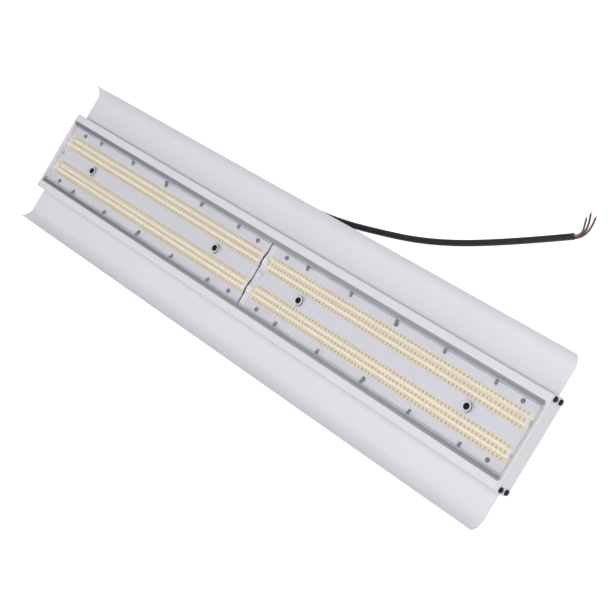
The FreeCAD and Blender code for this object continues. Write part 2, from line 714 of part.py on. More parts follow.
def make_gland_body():
    body = new_body("cable_gland_body")
    collar = new_sketch(body, "XY_Plane")
    polygon(collar, 6, GLAND_CORNER)
    pad(body, collar, "gland_collar")
    neck = new_sketch(body, "XY_Plane", "gland_collar")
    circles(neck, [("0", "0")], "gland_neck")
    pad(body, neck, "gland_neck_length")
    tail = new_sketch(body, "XY_Plane")
    circles(tail, [("0", "0")], "gland_thread")
    pad(body, tail, "folded_sheet + gland_tail", reverse=True)
    bore = new_sketch(body, "XY_Plane", "gland_collar + gland_neck_length")
    circles(bore, [("0", "0")], "gland_bore")
    pocket(body, bore, "gland_collar + gland_neck_length + folded_sheet + gland_tail + 1")
    return to_gland(body)


def make_gland_nut():
    body = new_body("cable_gland_nut")
    grip = new_sketch(body, "XY_Plane", "dome_start")
    polygon(grip, 6, GLAND_CORNER)
    pad(body, grip, "dome_hexagon")
    dome = new_sketch(body, "XZ_Plane")
    shoulder = "(dome_start + dome_hexagon)"
    outline(dome, [
        ("0", shoulder),
        ("gland_flats / 2", shoulder),
        ("dome_mouth", "gland_reach"),
        ("0", "gland_reach"),
    ])
    revolution(body, dome)
    thread = new_sketch(body, "XY_Plane", "dome_start")
    circles(thread, [("0", "0")], "gland_neck + loose_fit")
    pocket(body, thread, "gland_collar + gland_neck_length - dome_start", reverse=True)
    mouth = new_sketch(body, "XY_Plane", "gland_reach")
    circles(mouth, [("0", "0")], "gland_bore")
    pocket(body, mouth, "gland_reach")
    return to_gland(body)


def make_locknut():
    body = new_body("gland_locknut")
    nut = new_sketch(body, "XY_Plane", "-folded_sheet")
    polygon(nut, 6, GLAND_CORNER)
    circles(nut, [("0", "0")], "gland_thread + loose_fit")
    pad(body, nut, "locknut_height", reverse=True)
    return to_gland(body)


def make_bush():
    """The sealing bush, squeezed full round the end of the sheath."""
    body = new_body("gland_bush")
    plug = new_sketch(body, "XY_Plane", "gland_collar")
    circles(plug, [("0", "0")], "gland_bore - loose_fit / 2")
    pad(body, plug, "gland_reach - gland_collar")
    return to_gland(body)


def to_gland(body):
    place(body, GLAND_X, BOX_WALL, "gland_z", ALONG_Y)
    return body


# ---------------------------------------------------------------- hanging brackets
def make_bracket(label, side):
    body = new_body(label)
    section = new_sketch(body, "YZ_Plane", f"{side} * {BRACKET_X}")
    foot = f"({SIDE} - bracket_foot_inset - bracket_leg)"
    outline(section, hat_section("bracket_leg", foot, "bracket_sheet", "bracket_fold",
                                 "bracket_depth"))
    pad(body, section, "bracket_width", symmetric=True)
    slots = new_sketch(body, "XY_Plane", "box_depth")
    for _, y in in_both_channels(["0"]):
        slot_length = f"(bracket_width / 2 + {SHANK_HOLE})"
        middle = f"{side} * ({BRACKET_X} - (bracket_width - {slot_length}) / 2 - 0.5)"
        rectangle(slots, middle, y, f"{slot_length} + 1", f"2 * {SHANK_HOLE}")
    pocket(body, slots, "bracket_sheet + 0.5")
    hook = new_sketch(body, "XY_Plane", "box_depth - bracket_depth + bracket_sheet")
    circles(hook, [(f"{side} * {BRACKET_X}", "0")], "hook_hole_radius")
    pocket(body, hook, "bracket_sheet + 0.5")
    return body


# ---------------------------------------------------------------- screws
def make_screws(label, plane, seat, places, reach, outward, hexagonal):
    """Screws whose heads sit at seat. outward is 1 where the heads point along the plane's normal."""
    body = new_body(label)
    inward = outward > 0
    shanks = new_sketch(body, plane, seat)
    heads = new_sketch(body, plane, seat)
    sides, head = (6, "hex") if hexagonal else (int(size["pan_sides"]), "pan")
    for x, y in places:
        polygon(shanks, 6, "shank_radius", x, y)
        polygon(heads, sides, f"{head}_radius", x, y)
    pad(body, shanks, reach, reverse=inward)
    pad(body, heads, f"{head}_height", reverse=not inward)
    return body


def make_all_screws():
    under = "box_depth"
    lens_places = lens_screw_places(-1) + lens_screw_places(1)
    ear = "(folded_sheet + standoff_height + driver_ear_thickness)"
    return [
        make_screws("lens_screws", "XY_Plane", LENS_TOP, lens_places,
                    f"{LENS_TOP} - {TRAY} + bite", 1, False),
        make_screws("end_cap_screws_near", "YZ_Plane", f"{END} + cap_thickness",
                    PORTS, "cap_thickness + cap_screw_bite", 1, False),
        make_screws("end_cap_screws_far", "YZ_Plane", f"-({END} + cap_thickness)",
                    PORTS, "cap_thickness + cap_screw_bite", -1, False),
        make_screws("wing_screws", "XY_Plane", under, in_both_channels(WING_SCREWS),
                    "folded_sheet + bite", -1, True),
        make_screws("driver_box_screws", "XY_Plane", f"{under} - folded_sheet",
                    in_both_channels(BOX_SCREWS), "2 * folded_sheet + bite", -1, True),
        make_screws("bracket_screws", "XY_Plane", f"{under} - bracket_sheet",
                    in_both_channels(BRACKET_SCREWS), "bracket_sheet + folded_sheet + bite", -1, True),
        make_screws("driver_screws", "XY_Plane", ear, DRIVER_EARS,
                    "driver_ear_thickness + standoff_height - 0.5", 1, True),
    ]


# ---------------------------------------------------------------- cord, cores and leads
def tube(points, diameter, radii):
    """A round tube along straight runs joined by tangent arcs, one radius for each inner point."""
    edges = []
    start = points[0]
    for before, corner, after, radius in zip(points, points[1:], points[2:], radii):
        arrive = (corner - before).normalize()
        leave = (after - corner).normalize()
        half_turn = arrive.getAngle(leave) / 2
        trim = radius * math.tan(half_turn)
        first, last = corner - arrive * trim, corner + leave * trim
        bisector = (leave - arrive).normalize()
        centre = corner + bisector * (radius / math.cos(half_turn))
        edges.append(Part.makeLine(start, first))
        edges.append(Part.Arc(first, centre - bisector * radius, last).toShape())
        start = last
    edges.append(Part.makeLine(start, points[-1]))
    ring = Part.Wire(Part.makeCircle(diameter / 2, points[0], points[1] - points[0]))
    path = Part.Wire(edges)
    solid = path.makePipeShell([ring], True, False)
    expected = path.Length * math.pi * diameter ** 2 / 4
    if abs(solid.Volume / expected - 1) > 0.002:
        raise ValueError("a tube's volume isn't its length times its section")
    return solid


def easy_radii(points):
    """At each inner point, the radius that takes 45 per cent of the shorter run beside it."""
    radii = []
    for before, corner, after in zip(points, points[1:], points[2:]):
        shorter = min((corner - before).Length, (after - corner).Length)
        half_turn = (corner - before).getAngle(after - corner) / 2
        radii.append(0.45 * shorter / math.tan(half_turn))
    return radii


def free_tube(label, points, diameter):
    """A cord or core that lies free, through hand-chosen points."""
    radii = easy_radii(points)
    smallest = min(radii) / diameter
    print(f"{label}: radii {[round(r) for r in radii]} mm, smallest {smallest:.1f} diameters")
    return solid_feature(label, [tube(points, diameter, radii)])


def solid_feature(label, solids):
    feature = doc.addObject("Part::Feature", label)
    feature.Label = label
    feature.Shape = Part.makeCompound(solids)
    return feature


# along and across from the gland's mouth, and up from what the light lies on
CORD_ROUTE = [
    (0, 0, 17), (0, 14.5, 17), (4.4, 28.3, 16.4), (12.9, 40, 14.9), (24.7, 48.6, 12.7),
    (40, 53.3, 9.8), (67, 53.7, 6.2), (116, 56.3, 4.3), (176, 62, 4.1), (263, 84.8, 4.1),
    (352, 123.4, 4.1), (436.6, 169.4, 4.1),
]
CORE_ROUTES = {
    "core_live": [(437.4, 168, 2.6), (445.3, 172.3, 2.6), (449, 187, 1.4), (446.4, 201.4, 1.4)],
    "core_neutral": [(436, 170.6, 2.6), (441.5, 173.6, 2.6), (444.7, 181, 1.6), (442.1, 193, 1.4),
                     (437.4, 204, 1.4)],
    "core_earth": [(436.7, 169.4, 5.8), (443.2, 172.9, 5.8), (446.3, 181, 4.9), (445.6, 190.4, 2.8)],
}


def make_cord():
    mouth = Vector(number(GLAND_X), number(f"{BOX_WALL} + gland_reach"), 0)
    routes = {"supply_cord": CORD_ROUTE, **CORE_ROUTES}
    return [free_tube(label, [mouth + Vector(*place) for place in route],
                      size["cord_diameter" if route is CORD_ROUTE else "core_diameter"])
            for label, route in routes.items()]


def straight_lead(label, start, end, diameter):
    """A lead between two places, given as expressions."""
    ends = [Vector(*(number(text) for text in place)) for place in (start, end)]
    return solid_feature(label, [tube(ends, size[diameter], [])])


def make_leads():
    """What is wired inside: the cord's end, the driver's input cable and its output lead."""
    case_end = "driver_x - driver_length / 2"
    block_end = f"{GLAND_X} + block_length / 2"
    return [
        straight_lead("inner_cord", (GLAND_X, f"{BOX_WALL} + gland_collar", "gland_z"),
                      (GLAND_X, "block_y + block_width / 2", "gland_z"), "cord_diameter"),
        straight_lead("driver_cable", (block_end, "input_cable_y", "input_cable_z"),
                      (case_end, "input_cable_y", "input_cable_z"), "input_cable"),
        straight_lead("output_lead", ("0", "0", "folded_sheet + driver_height"),
                      ("0", "0", BOARD_TOP), "driver_lead"),
    ]


# ---------------------------------------------------------------- build, check and export
parts = [make_housing()]
for side_name, across in (("left", 1), ("right", -1)):
    parts.append(make_wing(f"wing_{side_name}", across))
    parts.append(make_seal(f"lens_seal_{side_name}", across))
for end_name, side in (("near", 1), ("far", -1)):
    parts.append(make_board(f"led_board_{end_name}", side))
    parts.append(make_led_rows(f"led_rows_{end_name}", side))
    parts.append(make_lens(f"lens_{end_name}", side))
    parts.append(make_end_cap(f"end_cap_{end_name}", side))
    parts.append(make_bracket(f"hanging_bracket_{end_name}", side))
parts.extend(make_board_fittings())
parts.extend(make_all_screws())
parts.extend([make_driver_box(), make_lid(), make_grommet(), make_driver(), make_standoffs()])
parts.append(make_terminal_block())
parts.extend([make_gland_body(), make_gland_nut(), make_locknut(), make_bush()])
parts.extend(make_leads())
parts.extend(make_cord())
doc.recompute()

for item in doc.Objects:
    if "Invalid" in item.State or "Error" in item.State:
        raise RuntimeError(f"{item.Label} didn't compute")
os.makedirs("parts", exist_ok=True)
for part in parts:
    if part.Shape.isNull() or not part.Shape.isValid():
        raise RuntimeError(f"{part.Label} has no sound shape")
    part.Shape.exportStep(f"parts/{part.Label}.step")
print(f"{len(parts)} parts written")
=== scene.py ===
"""High bay light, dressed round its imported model.

Metres, +X along the light, +Y across it, +Z out of the lens; the light lies on its back on the
floor. The housing, wings, boxes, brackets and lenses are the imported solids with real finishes.
The LEDs, the screws that show, the lens's trim and the leads are made here, at the places that
the solids give.
"""

import math

import bmesh
import bpy
from mathutils import Matrix, Quaternion, Vector


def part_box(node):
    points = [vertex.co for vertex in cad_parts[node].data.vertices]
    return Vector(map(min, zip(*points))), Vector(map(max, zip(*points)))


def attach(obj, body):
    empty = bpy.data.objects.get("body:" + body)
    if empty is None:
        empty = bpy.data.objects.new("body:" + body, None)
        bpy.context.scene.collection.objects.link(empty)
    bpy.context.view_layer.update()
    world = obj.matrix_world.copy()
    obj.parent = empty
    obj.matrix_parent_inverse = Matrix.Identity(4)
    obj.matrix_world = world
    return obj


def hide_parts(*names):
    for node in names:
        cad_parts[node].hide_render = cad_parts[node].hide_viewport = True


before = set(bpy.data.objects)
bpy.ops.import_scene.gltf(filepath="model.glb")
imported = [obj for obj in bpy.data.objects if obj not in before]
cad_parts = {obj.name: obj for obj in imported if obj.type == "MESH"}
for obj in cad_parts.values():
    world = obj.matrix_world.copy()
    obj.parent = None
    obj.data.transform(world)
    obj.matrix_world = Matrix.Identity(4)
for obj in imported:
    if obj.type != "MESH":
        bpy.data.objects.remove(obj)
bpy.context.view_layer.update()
MM = 0.001
SIDES = (("near", 1), ("far", -1))

# ---------------------------------------------------------------- sizes, in metres
# the camera stands off the near end and is rolled so that the light lies corner to corner
CAMERA_AZIMUTH = math.radians(2.704)
CAMERA_ELEVATION = math.radians(50.499)
CAMERA_ROLL = math.radians(-61.317)
CAMERA_PLACE = Vector((1.21315, -0.00619, 1.40895))
CAMERA_LENS = 84.51

# two strips of three rows on each board, and where the ink beside a strip starts and stops fading
STRIP_Y = 20 * MM
LED_COUNT = 72
LED_ROWS = [(strip + row) * MM for strip in (-20, 20) for row in (-7.3, 0, 7.3)]
LED_LENGTH = 2.8 * MM
LED_WIDTH = 3.5 * MM
LED_FRAME = 0.3 * MM
LED_DIP = 0.12 * MM
INK_FADES = (6 * MM, 13 * MM)

# an M4 pan head with a hexagon socket: its outline from rim to crown is radius and height in mm
PAN_RADIUS = 4 * MM
PAN_HEIGHT = 2.8 * MM
PAN_SOCKET = 2.5 * MM
PAN_OUTLINE = [(4.0, 0.0), (4.0, 1.1), (3.85, 1.7), (3.4, 2.3), (2.7, 2.65), (1.9, 2.8)]
SOCKET_FLOOR = 0.45
THREAD_PITCH = 0.7 * MM
THREAD_ROOT = 1.55 * MM
THREAD_CREST = 1.6 * MM

# reach, head radius and head height of each kind of screw that shows
LENS_SCREW = (9 * MM, 4 * MM, 2 * MM)
END_SCREW = (10 * MM, 3.5 * MM, 2.6 * MM)
BOARD_SCREW = (1.4 * MM, 2.9 * MM, 1.9 * MM)
LENS_SCREW_PITCH = 141.5 * MM
BOARD_SCREW_ROWS = (-196 * MM, 0, 196 * MM)
BOARD_SCREW_Y = 37 * MM

# bore, rim and thickness of the lens washers, and of the sleeves round the lens's pillars
WASHER = (4.1 * MM, 6.1 * MM, 0.5 * MM)
SLEEVE = (6.6 * MM, 7.3 * MM, 3.2 * MM)
SLEEVE_PLAY = 0.05 * MM
WASHER_EDGE = 0.12 * MM
WASHER_CORNERS = 32
LENS_OVER_BOARD = 5.4 * MM

# across from the middle and up, in mm: from the lens, over the rim and back underneath
BEAD_SECTION = [(44.6, 61.0), (44.7, 61.2), (45.1, 61.5), (45.5, 61.7), (46.3, 62.2),
                (46.8, 63.1), (47.6, 63.45), (48.7, 63.4), (49.5, 63.0), (49.6, 62.6),
                (46.8, 62.4), (46.0, 60.6), (45.7, 60.6), (45.65, 61.02)]
BEAD_ROUND_STEPS = 9

# latch hooks under the lens's edges: across from the middle, and up from the board
HOOK_COUNT = 5
HOOK_PITCH = 78.3 * MM
HOOK_WIDTH = 2.2 * MM
HOOK_Y = (36.4 * MM, 42.6 * MM)
HOOK_Z = (0.4 * MM, 3.3 * MM)

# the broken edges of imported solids, as bevel widths in mm
EDGE_BREAKS = {
    "housing": 0.2, "wing_left": 0.15, "wing_right": 0.15, "end_cap_near": 0.5, "end_cap_far": 0.5,
    "driver_box": 0.15, "driver_box_lid": 0.15, "hanging_bracket_near": 0.25,
    "hanging_bracket_far": 0.25, "terminal_block": 0.6, "cable_gland_body": 0.4,
    "cable_gland_nut": 0.5, "gland_locknut": 0.3, "led_driver": 0.3, "board_links": 0.4,
    "end_connectors": 0.3, "inlet_connector": 0.4, "wing_screws": 0.3, "driver_box_screws": 0.3,
    "bracket_screws": 0.3, "driver_screws": 0.3,
}
FACET_JOIN = 0.001 * MM
FLAT_WITHIN = math.radians(0.5)
SHARP_FROM = math.radians(50)

# length, width and depth of the flow lines in the lens
FLOW_LINES = (400 * MM, 6 * MM, 6 * MM)
# paper fibres are drawn coarser than real ones, so that they show; the floor lies just below the
# cord, glows for the eye alone, and the world's light is what fills the shades
PAPER_FIBRE = 1 / 300
FLOOR_REACH = 6.0
FLOOR_GAP = 0.2 * MM
FLOOR_GLOW = 0.75
WORLD_LIGHT = 0.42

# how far a skin's gloss strays to each side of the roughness given
GLOSS_SPREAD = 0.05

CORD_DIAMETER = 8 * MM
CORE_DIAMETER = 2.5 * MM
STRAND_DIAMETER = 1.3 * MM
# the wires' way past the end of the insulation, ahead and aside in mm
STRAND_STEPS = [(-1, 0), (1.5, 0.3), (3.2, -0.12)]
GLAND_MOUTH = Vector((-100, 56, 0)) * MM

# along and across from the gland's mouth, and up from what the light lies on
CORD_ROUTE = [
    (0, 0, 17), (0, 14.5, 17), (3.6, 27.5, 16.4), (11, 38, 14.9), (21.5, 45, 12.7),
    (35, 48.6, 9.8), (66, 49.6, 6.2), (122, 53.8, 4.3), (176, 63.6, 4.1), (263, 84, 4.1),
    (352, 122.4, 4.1), (436.6, 169.4, 4.1),
]
CORE_ROUTES = {
    "core_live": [(437.4, 168, 2.6), (445.3, 172.3, 2.6), (449, 187, 1.4), (446.7, 199, 1.4)],
    "core_neutral": [(436, 170.6, 2.6), (441.5, 173.6, 2.6), (444.7, 181, 1.6), (442.1, 193, 1.4),
                     (438.4, 200.8, 1.4)],
    "core_earth": [(436.7, 169.4, 5.8), (442.3, 172.5, 5.8), (444.2, 179, 5.9), (441, 187, 5.2),
                   (438.1, 193.2, 3.6)],
}


# ---------------------------------------------------------------- nodes and finishes
def linear(hex_colour):
    """An sRGB hex colour as the linear RGBA that a shader takes."""
    channels = [int(hex_colour[place:place + 2], 16) / 255 for place in (1, 3, 5)]
    return (*(c / 12.92 if c <= 0.04045 else ((c + 0.055) / 1.055) ** 2.4 for c in channels), 1)


def add(tree, kind, inputs=None, **settings):
    """A node with its settings; each input is a value or the output that it is linked to."""
    node = tree.nodes.new(kind)
    for name, value in settings.items():
        setattr(node, name, value)
    for socket, value in (inputs or {}).items():
        if isinstance(value, bpy.types.NodeSocket):
            tree.links.new(value, node.inputs[socket])
        else:
            node.inputs[socket].default_value = value
    return node


def new_material(name):
    """A material with an empty node tree."""
    material = bpy.data.materials.new(name)
    material.use_nodes = True
    material.node_tree.nodes.clear()
    return material, material.node_tree


def finish(name, light, dark, patch, grain, relief, roughness, sockets):
    """A surface whose colour drifts from light to dark in patches and whose skin has a fine grain.

    patch and grain are the real sizes of those marks in metres, and relief is the grain's height.
    sockets are the shader's constant values.
    """
    material, tree = new_material(name)
    where = add(tree, "ShaderNodeTexCoord").outputs["Object"]
    drift = add(tree, "ShaderNodeTexNoise", {"Vector": where, "Scale": 1 / patch, "Detail": 3.0})
    skin = add(tree, "ShaderNodeTexNoise", {"Vector": where, "Scale": 1 / grain, "Detail": 2.0})
    colour = add(tree, "ShaderNodeMix", {0: drift.outputs["Fac"], 6: linear(light),
                                         7: linear(dark)}, data_type="RGBA")
    gloss = add(tree, "ShaderNodeMapRange", {"Value": skin.outputs["Fac"],
                                             "To Min": roughness - GLOSS_SPREAD,
                                             "To Max": roughness + GLOSS_SPREAD})
    bump = add(tree, "ShaderNodeBump", {"Height": skin.outputs["Fac"], "Distance": relief,
                                        "Strength": 1.0})
    shader = add(tree, "ShaderNodeBsdfPrincipled", {"Base Color": colour.outputs[2],
                                                    "Roughness": gloss.outputs["Result"],
                                                    "Normal": bump.outputs["Normal"]})
    for socket, value in sockets.items():
        shader.inputs[socket].default_value = value
    add(tree, "ShaderNodeOutputMaterial", {"Surface": shader.outputs["BSDF"]})
    return material


# polyester powder baked on aluminium: even satin white with a faint orange peel, drawn at 3 mm,
# coarser than the real 1.5 mm, so that it shows
powder_coat = finish("powder coat, satin white", "#E9E8EE", "#E4E3E9", 90 * MM, 3 * MM, 0.02 * MM,
                     0.42, {"IOR": 1.5})
# the same powder on the folded steel sheet of the driver box, a little flatter
sheet_coat = finish("powder coat on steel, white", "#E6E5EB", "#DFDEE4", 70 * MM, 3 * MM,
                    0.02 * MM, 0.48, {"IOR": 1.5})
# glass filled nylon, moulded: slightly warm white with a fine spark eroded grain
white_nylon = finish("nylon, moulded white", "#E4E4E8", "#DADADF", 12 * MM, 0.8 * MM, 0.02 * MM,
                     0.45, {"IOR": 1.53})
# the same nylon in black, for the gland
black_nylon = finish("nylon, moulded black", "#1D1D1F", "#161617", 12 * MM, 0.8 * MM, 0.03 * MM,
                     0.5, {"IOR": 1.53})
# chloroprene rubber, extruded: matt black with a dusty bloom
black_rubber = finish("chloroprene rubber, extruded", "#1C1C1D", "#101011", 15 * MM, 1.2 * MM,
                      0.06 * MM, 0.62, {"IOR": 1.52})
# silicone rubber, extruded and bedded: matt mid grey, partly painted shade for the lens's groove
groove_shade_silicone = finish("silicone rubber, grey, partly painted groove shade", "#A6A6AD", "#9A9AA1", 20 * MM, 1 * MM, 0.03 * MM,
                       0.55, {"IOR": 1.43})
# silicone rubber without filler, extruded: translucent white
white_silicone = finish("silicone rubber, translucent white", "#E6E6EA", "#DCDCE1", 20 * MM,
                        1 * MM, 0.03 * MM, 0.5, {"IOR": 1.43, "Subsurface Weight": 0.1})
# epoxy, transfer moulded: the white frame of an LED
led_package = finish("epoxy package, white", "#E8E2D2", "#DED6C2", 4 * MM, 0.5 * MM, 0.005 * MM,
                     0.4, {"IOR": 1.53})
# silicone filled with phosphor powder and cast in the LED's frame: pale yellow, waxy
phosphor = finish("phosphor silicone, pale yellow", "#CDB788", "#BFA873", 9 * MM, 0.5 * MM,
                  0.01 * MM, 0.35, {"IOR": 1.41, "Subsurface Weight": 0.15})
# steel, zinc plated and blue passivated: bright with a cool drift
bright_zinc = finish("steel, bright zinc", "#CDD0D6", "#B9BCC4", 5 * MM, 0.8 * MM, 0.01 * MM, 0.3,
                     {"Metallic": 1.0})
# the bracket strap is hot dip galvanised: duller, with spangle patches
galvanised = finish("steel, galvanised", "#C3C6CA", "#A3A7AD", 8 * MM, 1.5 * MM, 0.02 * MM, 0.42,
                    {"Metallic": 1.0})
# steel, black zinc: near black metal with a soft sheen
black_zinc = finish("steel, black zinc", "#38383C", "#222225", 4 * MM, 0.6 * MM, 0.01 * MM, 0.35,
                    {"Metallic": 1.0})
# steel, phosphated: dull dark grey
phosphated = finish("steel, phosphated", "#84888A", "#6E7274", 4 * MM, 0.6 * MM, 0.02 * MM,
                    0.55, {"Metallic": 0.6})
# nylon, moulded in smoky grey
grey_nylon = finish("nylon, moulded grey", "#8C8C98", "#7E7E8A", 6 * MM, 0.8 * MM, 0.02 * MM,
                    0.5, {"IOR": 1.53})
# clear anodised aluminium, extruded: satin silver
anodised = finish("aluminium, clear anodised", "#C9CBCF", "#BBBDC2", 30 * MM, 1.2 * MM, 0.01 * MM,
                  0.38, {"Metallic": 1.0})
# soft PVC, extruded over each core: dull colours with a wet shine
core_finishes = {
    "core_live": finish("PVC insulation, red brown", "#82392F", "#6E2E26", 10 * MM, 1 * MM,
                        0.01 * MM, 0.35, {"IOR": 1.53}),
    "core_neutral": finish("PVC insulation, teal", "#1D6A6B", "#185759", 10 * MM, 1 * MM,
                           0.01 * MM, 0.35, {"IOR": 1.53}),
    "core_earth": finish("PVC insulation, olive green", "#6E7440", "#5A6134", 10 * MM, 1 * MM,
                         0.01 * MM, 0.35, {"IOR": 1.53}),
}
# soft annealed copper, drawn: warm and bright
copper = finish("copper, drawn", "#C98A62", "#B0714C", 3 * MM, 0.4 * MM, 0.01 * MM, 0.3,
                {"Metallic": 1.0})


def clear_polycarbonate():
    """Polycarbonate, extruded: clear and polished, with faint flow lines along the light.

    Lamps reach what is behind it, as they do through a thin clear plate.
    """
    material, tree = new_material("polycarbonate, extruded clear")
    where = add(tree, "ShaderNodeTexCoord").outputs["Object"]
    stretched = add(tree, "ShaderNodeMapping", {"Vector": where,
                                                "Scale": [1 / size for size in FLOW_LINES]})
    flow = add(tree, "ShaderNodeTexNoise", {"Vector": stretched.outputs["Vector"], "Scale": 1.0,
                                            "Detail": 2.0})
    bump = add(tree, "ShaderNodeBump", {"Height": flow.outputs["Fac"], "Distance": 0.004 * MM,
                                        "Strength": 1.0})
    gloss = add(tree, "ShaderNodeMapRange", {"Value": flow.outputs["Fac"], "To Min": 0.02,
                                             "To Max": 0.06})
    plate = add(tree, "ShaderNodeBsdfPrincipled", {"Base Color": linear("#F1F1F2"), "IOR": 1.586,
                                                   "Transmission Weight": 1.0,
                                                   "Roughness": gloss.outputs["Result"],
                                                   "Normal": bump.outputs["Normal"]})
    open_to_lamps = add(tree, "ShaderNodeBsdfTransparent", {"Color": linear("#E9E9EB")})
    shadow_ray = add(tree, "ShaderNodeLightPath").outputs["Is Shadow Ray"]
    both = add(tree, "ShaderNodeMixShader", {0: shadow_ray, 1: plate.outputs["BSDF"],
                                             2: open_to_lamps.outputs["BSDF"]})
    add(tree, "ShaderNodeOutputMaterial", {"Surface": both.outputs["Shader"]})
    return material


def solder_mask_finish():
    """Epoxy solder mask over copper and aluminium: smooth glossy white.

    A cream reflector ink is printed along both strips and fades out under the edges of the bars.
    """
    material, tree = new_material("solder mask, glossy white")
    where = add(tree, "ShaderNodeTexCoord").outputs["Object"]
    across = add(tree, "ShaderNodeSeparateXYZ", {0: where}).outputs["Y"]
    from_middle = add(tree, "ShaderNodeMath", {0: across}, operation="ABSOLUTE")
    from_strip = add(tree, "ShaderNodeMath", {0: from_middle.outputs[0], 1: STRIP_Y},
                     operation="SUBTRACT")
    distance = add(tree, "ShaderNodeMath", {0: from_strip.outputs[0]}, operation="ABSOLUTE")
    ink = add(tree, "ShaderNodeMapRange", {"Value": distance.outputs[0], "From Min": INK_FADES[0],
                                           "From Max": INK_FADES[1], "To Min": 1.0, "To Max": 0.0},
              interpolation_type="SMOOTHSTEP")
    drift = add(tree, "ShaderNodeTexNoise", {"Vector": where, "Scale": 1 / (60 * MM),
                                             "Detail": 3.0})
    skin = add(tree, "ShaderNodeTexNoise", {"Vector": where, "Scale": 1 / (2.5 * MM),
                                            "Detail": 2.0})
    mask = add(tree, "ShaderNodeMix", {0: drift.outputs["Fac"], 6: linear("#DADAE1"),
                                       7: linear("#D3D3DB")}, data_type="RGBA")
    colour = add(tree, "ShaderNodeMix", {0: ink.outputs["Result"], 6: mask.outputs[2],
                                         7: linear("#E2D5BC")}, data_type="RGBA")
    bump = add(tree, "ShaderNodeBump", {"Height": skin.outputs["Fac"], "Distance": 0.01 * MM,
                                        "Strength": 1.0})
    shader = add(tree, "ShaderNodeBsdfPrincipled", {"Base Color": colour.outputs[2], "IOR": 1.55,
                                                    "Roughness": 0.3,
                                                    "Normal": bump.outputs["Normal"]})
    add(tree, "ShaderNodeOutputMaterial", {"Surface": shader.outputs["BSDF"]})
    return material


clear_lens = clear_polycarbonate()
solder_mask = solder_mask_finish()

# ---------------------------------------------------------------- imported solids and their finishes
NODE_FINISHES = {
    powder_coat: ["housing", "wing_left", "wing_right", "end_cap_near", "end_cap_far"],
    sheet_coat: ["driver_box", "driver_box_lid"],
    galvanised: ["hanging_bracket_near", "hanging_bracket_far"],
    clear_lens: ["lens_near", "lens_far"],
    white_silicone: ["lens_seal_left", "lens_seal_right"],
    solder_mask: ["led_board_near", "led_board_far"],
    white_nylon: ["board_links", "end_connectors", "inlet_connector", "terminal_block"],
    bright_zinc: ["wing_screws", "driver_box_screws", "bracket_screws", "driver_screws",
                  "driver_standoffs"],
    anodised: ["led_driver"],
    black_nylon: ["cable_gland_body", "cable_gland_nut", "gland_locknut"],
    black_rubber: ["wire_grommet", "gland_bush", "driver_cable", "output_lead", "inner_cord"],
}
for material, names in NODE_FINISHES.items():
    for name in names:
        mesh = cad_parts[name].data
        mesh.materials.clear()
        mesh.materials.append(material)
# facets are joined and flat faces made whole first, so that only true edges are broken
for name, width in EDGE_BREAKS.items():
    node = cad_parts[name]
    weld = node.modifiers.new("join facets", "WELD")
    weld.merge_threshold = FACET_JOIN
    whole = node.modifiers.new("whole flat faces", "DECIMATE")
    whole.decimate_type = "DISSOLVE"
    whole.angle_limit = FLAT_WITHIN
    whole.delimit = {"MATERIAL"}
    edges = node.modifiers.new("broken edges", "BEVEL")
    edges.width = width * MM
    edges.segments = 2
    edges.limit_method = "ANGLE"
    edges.angle_limit = SHARP_FROM
    edges.use_clamp_overlap = False
    flats = node.modifiers.new("flat faces stay flat", "WEIGHTED_NORMAL")
    flats.keep_sharp = False


# ---------------------------------------------------------------- making pieces
def piece(name, mesh_code, materials, slot, *nodes):
    """An object that rides on the light, from code that fills its mesh, in place of the nodes."""
    mesh = bpy.data.meshes.new(name)
    for material in materials:
        mesh.materials.append(material)
    shape = bmesh.new()
    mesh_code(shape)
    shape.to_mesh(mesh)
    shape.free()
    made = bpy.data.objects.new(name, mesh)
    bpy.context.scene.collection.objects.link(made)
    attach(made, "root")
    if nodes:
        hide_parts(*nodes)
    return made


def ring(shape, radius, height, corners, place, socket=0.0):
    """Points round a circle; with a socket they lie on a hexagon that size across its flats."""
    points = []
    for corner in range(corners):
        angle = math.tau * corner / corners
        reach = radius
        if socket:
            reach = socket / 2 / math.cos((angle % (math.pi / 3)) - math.pi / 6)
        points.append(shape.verts.new(place @ Vector((reach * math.cos(angle),
                                                      reach * math.sin(angle), height))))
    return points


def turned(shape, profile, place, corners=24):
    """Skins rings of (radius, height, socket) from the first to the last and closes both ends."""
    rings = [ring(shape, step[0], step[1], corners, place, *step[2:]) for step in profile]
    for lower, upper in zip(rings, rings[1:]):
        for corner in range(corners):
            after = (corner + 1) % corners
            shape.faces.new((lower[corner], lower[after], upper[after],
                             upper[corner])).smooth = True
    shape.faces.new(list(reversed(rings[0])))
    shape.faces.new(rings[-1])


def slab(shape, low, high):
    """A box between two corners."""
    low, high = Vector(low), Vector(high)
    made = bmesh.ops.create_cube(shape, size=1)
    for vert in made["verts"]:
        vert.co = [low[axis] if vert.co[axis] < 0 else high[axis] for axis in range(3)]


